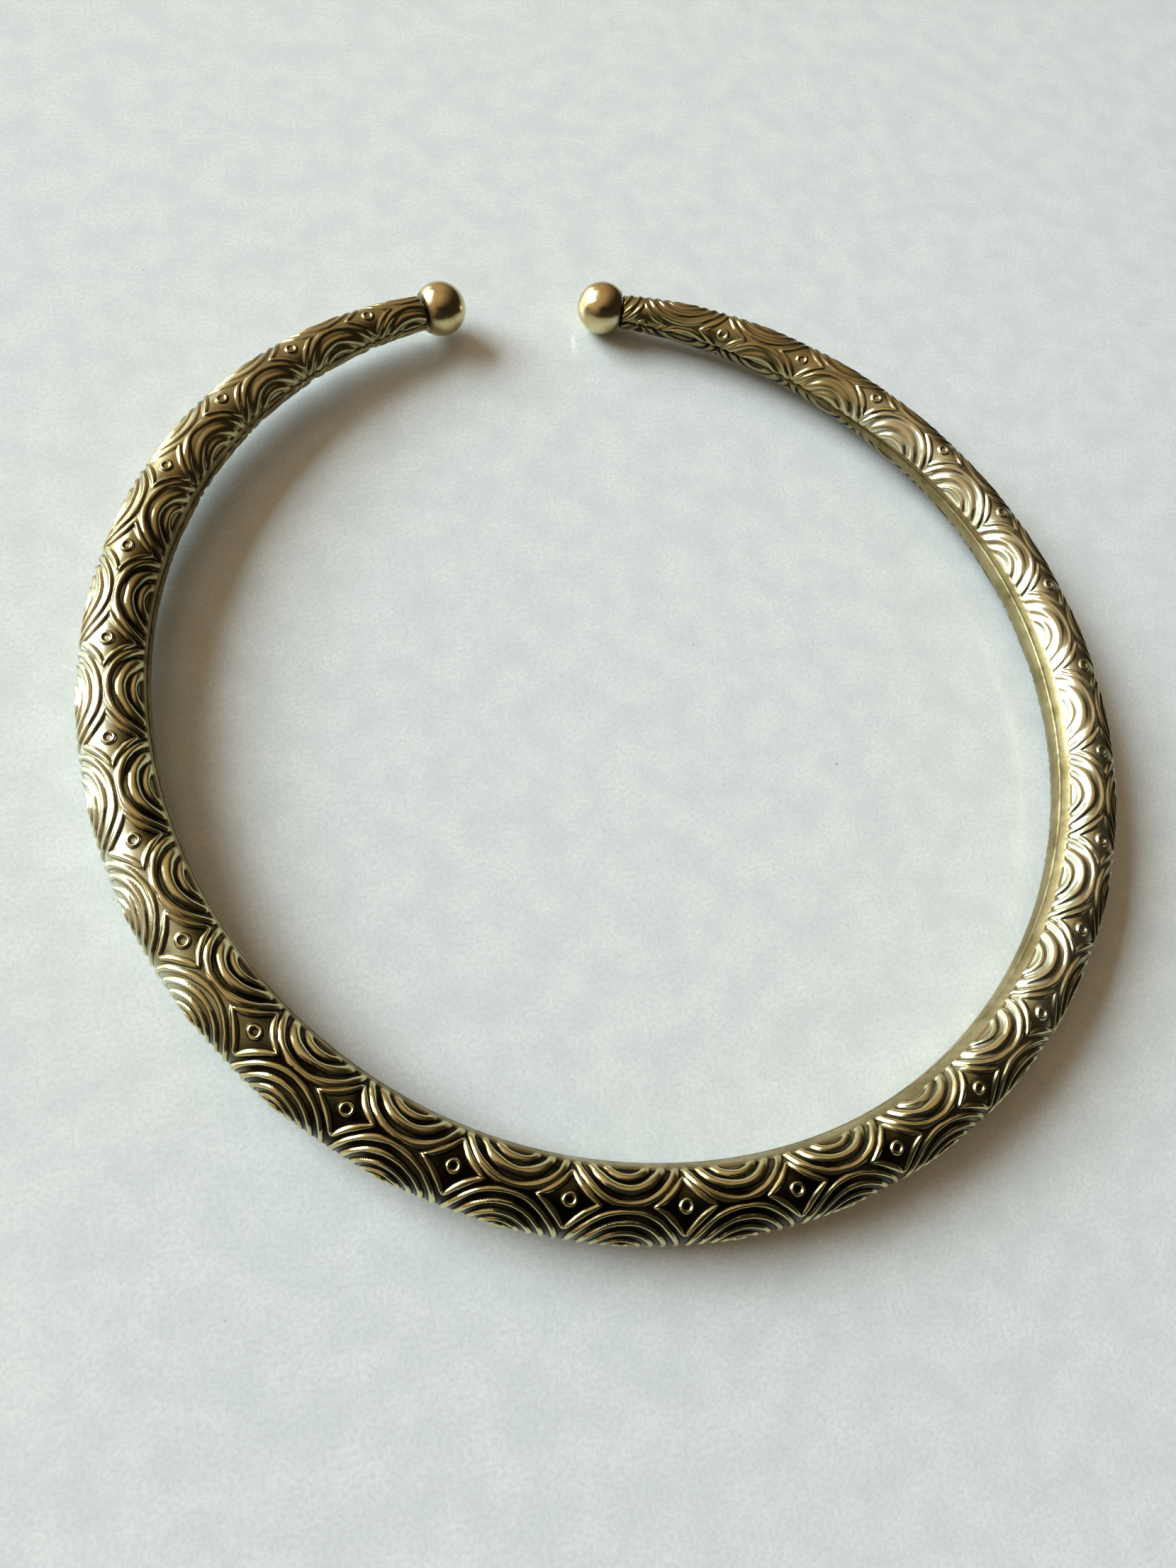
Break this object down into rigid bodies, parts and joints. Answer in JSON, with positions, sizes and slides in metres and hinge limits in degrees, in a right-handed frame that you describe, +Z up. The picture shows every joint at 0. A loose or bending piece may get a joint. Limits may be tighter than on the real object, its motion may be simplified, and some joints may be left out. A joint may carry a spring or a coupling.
{
  "type": "rigid open choker with ball ends",
  "caption": "Rigid open neck ring: one hollow patterned tube, full at the front, tapering to a plain ball at each end.",
  "frame": {"origin": "on the surface the choker lies on, under the middle of its bounding box", "axes": "+Z up, away from the surface it lies on; +Y from the full front towards the opening at the back of the neck; +X towards the right arm seen from above with the front nearest"},
  "size_m": [0.1474, 0.1492, 0.0107],
  "materials": {
    "antique_brass": "rolled in relief, polished on the ridges, dark patina in the hollows",
    "polished_brass": "polished"
  },
  "bodies": {
    "root": {"collar_tube": "antique_brass", "end_ball_right": "polished_brass", "end_ball_left": "polished_brass"}
  },
  "joints": []
}
